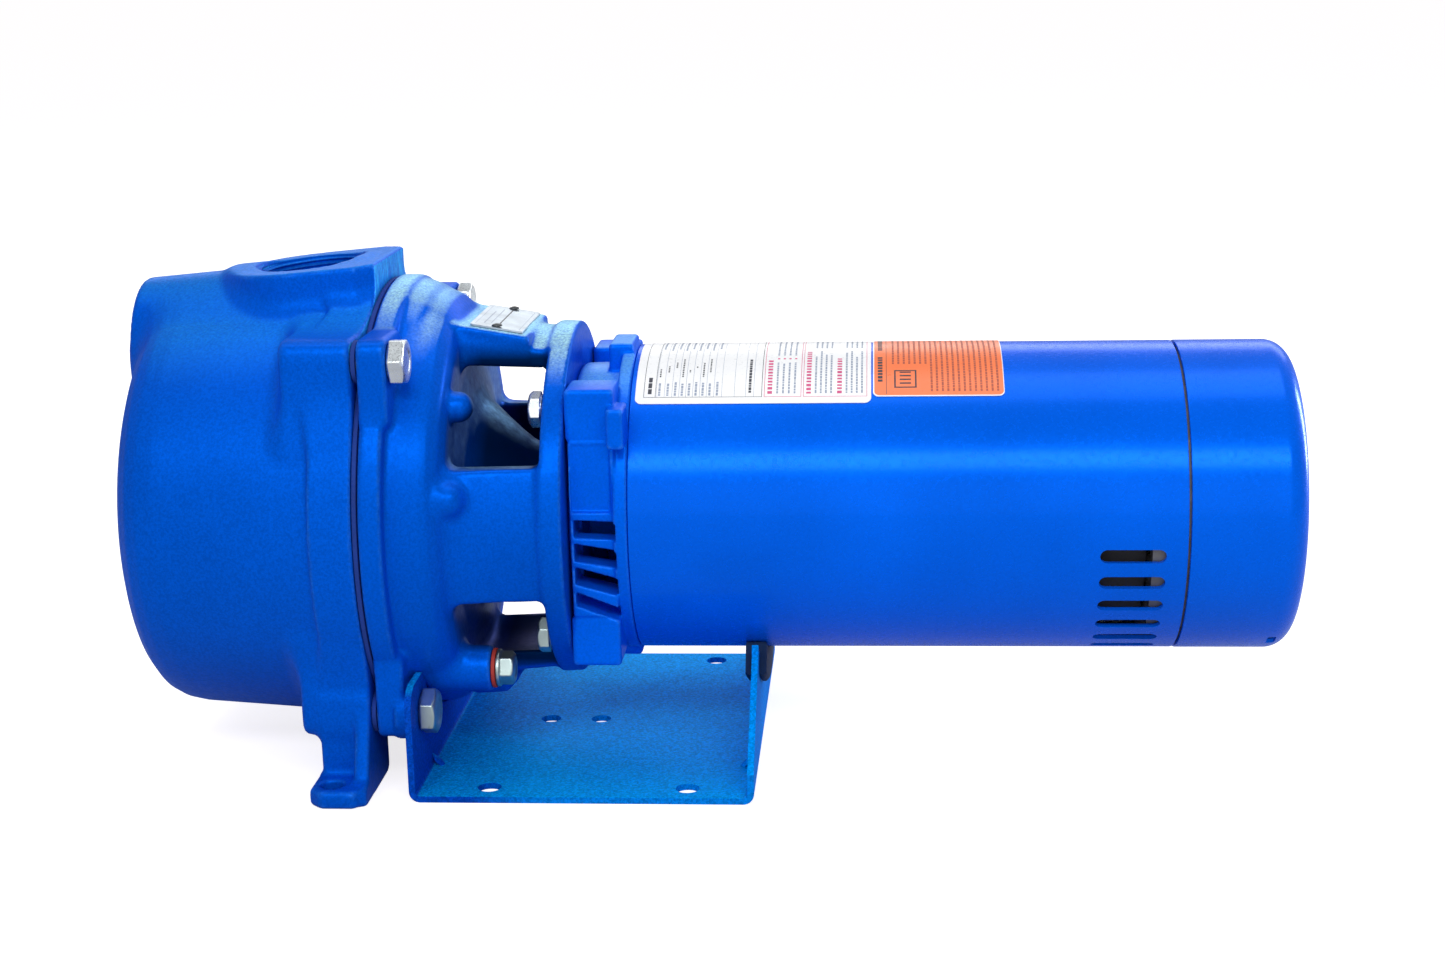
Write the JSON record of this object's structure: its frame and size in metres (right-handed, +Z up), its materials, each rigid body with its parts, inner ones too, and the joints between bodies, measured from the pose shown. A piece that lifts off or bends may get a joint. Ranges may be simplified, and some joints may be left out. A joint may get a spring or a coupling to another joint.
{
  "type": "centrifugal water pump",
  "caption": "Self-priming centrifugal water pump: cast tank casing with suction and discharge ports, open yoke, bent steel base and close-coupled electric motor",
  "frame": {"origin": "on the base's flat underside, under the shaft, midway between the four foot holes", "axes": "+X along the shaft from the pump casing to the motor's rear end, +Z up, +Y completes the right-handed frame"},
  "size_m": [0.5355, 0.223, 0.2316],
  "materials": {
    "cast_paint": "glossy blue enamel over rough casting",
    "motor_paint": "smooth glossy blue enamel",
    "sheet_paint": "semi-gloss blue enamel on bent sheet",
    "zinc_steel": "bright zinc plate",
    "plain_steel": "machined steel",
    "rubber": "dull black",
    "red_fibre": "dull red",
    "gasket_paper": "dull dark",
    "moulded_plastic": "black moulded",
    "cast_iron": "bare casting",
    "brass": "machined",
    "ceramic": "polished ceramic",
    "carbon": "lapped carbon",
    "lamination": "stacked steel sheets",
    "copper": "varnished copper wire",
    "white_label": "printed film",
    "orange_label": "printed film",
    "name_plate": "satin plate"
  },
  "bodies": {
    "housing": {"pump_casing": "cast_paint", "motor_adapter": "cast_paint", "motor_shell": "motor_paint", "end_cap": "motor_paint", "front_end_bell": "motor_paint", "base_bracket": "sheet_paint", "casing_bolt_1": "zinc_steel", "casing_bolt_2": "zinc_steel", "casing_bolt_3": "zinc_steel", "casing_bolt_4": "zinc_steel", "adapter_bolt_1": "zinc_steel", "adapter_bolt_2": "zinc_steel", "adapter_bolt_3": "zinc_steel", "adapter_bolt_4": "zinc_steel", "diffuser_screw_1": "zinc_steel", "diffuser_screw_2": "zinc_steel", "drain_plug": "zinc_steel", "nameplate_pin_1": "zinc_steel", "nameplate_pin_2": "zinc_steel", "cap_screw_1": "zinc_steel", "cap_screw_2": "zinc_steel", "through_bolt_1": "zinc_steel", "through_bolt_2": "zinc_steel", "capacitor_clamp": "zinc_steel", "front_bearing_outer": "plain_steel", "rear_bearing_outer": "plain_steel", "rear_end_bell": "plain_steel", "motor_support_pad": "rubber", "drain_washer": "red_fibre", "casing_gasket": "gasket_paper", "diffuser": "moulded_plastic", "start_switch": "moulded_plastic", "start_capacitor": "moulded_plastic", "terminal_board": "moulded_plastic", "overload_protector": "moulded_plastic", "check_valve_seat": "brass", "check_valve_pin": "brass", "seal_seat": "ceramic", "stator_core": "lamination", "winding_front": "copper", "winding_rear": "copper", "motor_label": "white_label", "warning_label": "orange_label", "pump_nameplate": "name_plate"},
    "rotor": {"motor_shaft": "plain_steel", "rotor_core": "lamination", "impeller": "cast_iron", "seal_head": "carbon", "seal_spring": "plain_steel", "water_slinger": "rubber", "cooling_fan": "moulded_plastic", "front_bearing_inner": "plain_steel", "rear_bearing_inner": "plain_steel"},
    "governor": {"start_governor": "moulded_plastic"},
    "flap": {"check_valve_flap": "rubber"}
  },
  "joints": [
    {"name": "shaft_spin", "type": "hinge", "parent": "housing", "child": "rotor", "pos_m": [0, 0, 0.1156], "axis": [1, 0, 0], "continuous": true},
    {"name": "governor_slide", "type": "slide", "parent": "rotor", "child": "governor", "axis": [1, 0, 0], "range_m": [0, 0.005]},
    {"name": "check_valve_swing", "type": "hinge", "parent": "housing", "child": "flap", "pos_m": [-0.1924, 0, 0.212], "axis": [0, -1, 0], "range_deg": [0, 30]}
  ]
}
